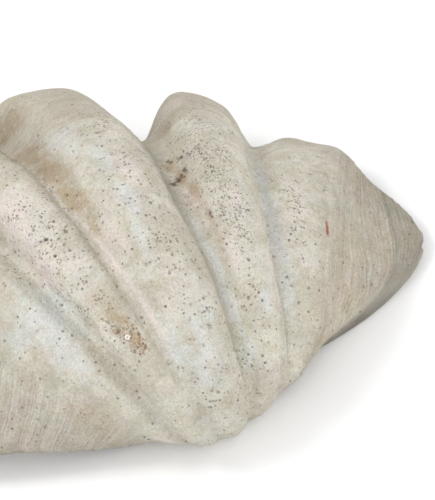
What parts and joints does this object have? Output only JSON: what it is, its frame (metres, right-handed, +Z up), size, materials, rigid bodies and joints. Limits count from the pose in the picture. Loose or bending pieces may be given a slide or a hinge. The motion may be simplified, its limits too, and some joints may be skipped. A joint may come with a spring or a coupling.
{
  "type": "giant clam shell",
  "caption": "One large fan-shaped clam valve with broad radiating folds, a deeply scalloped lip and a hollow underside, lying hollow side down",
  "frame": {"origin": "centre of the valve's plan, on the surface it lies on", "axes": "+X along the hinge line, +Y from the hinge towards the scalloped edge, +Z up and out of the domed side"},
  "size_m": [0.743, 0.5872, 0.246],
  "materials": {
    "weathered_shell": "chalky weathered shell, matte, with smoother porcelain patches"
  },
  "bodies": {
    "root": {"clam_valve": "weathered_shell"}
  },
  "joints": []
}
